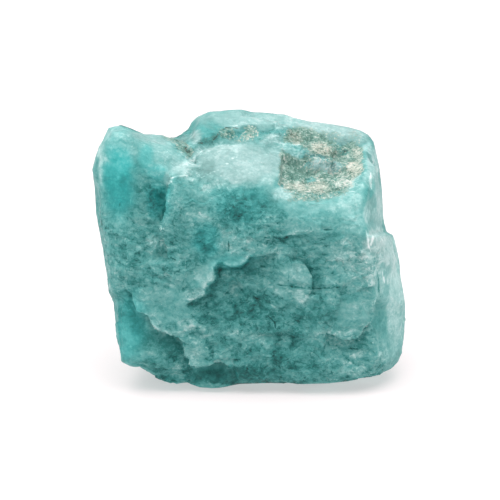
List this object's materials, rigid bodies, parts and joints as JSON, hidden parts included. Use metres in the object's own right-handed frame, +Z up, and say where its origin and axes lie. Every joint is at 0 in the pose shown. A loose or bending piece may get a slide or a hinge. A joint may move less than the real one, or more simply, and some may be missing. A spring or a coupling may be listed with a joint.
{
  "type": "rough amazonite stone",
  "caption": "Rough blue-green feldspar block with broken cleavage faces, stepped ledges and a stained hollow on top, resting on a flat foot.",
  "frame": {"origin": "on the foot's plane, in the middle of the stone's outer box", "axes": "+Z up from the foot, -Y out of the broad broken face, +X to the right as that face is seen"},
  "size_m": [0.0499, 0.0337, 0.0407],
  "materials": {
    "amazonite": "rough broken feldspar, blue-green with paler veils and a brown granular stain on top, vitreous to pearly on cleavage faces"
  },
  "bodies": {
    "root": {"amazonite": "amazonite"}
  },
  "joints": []
}
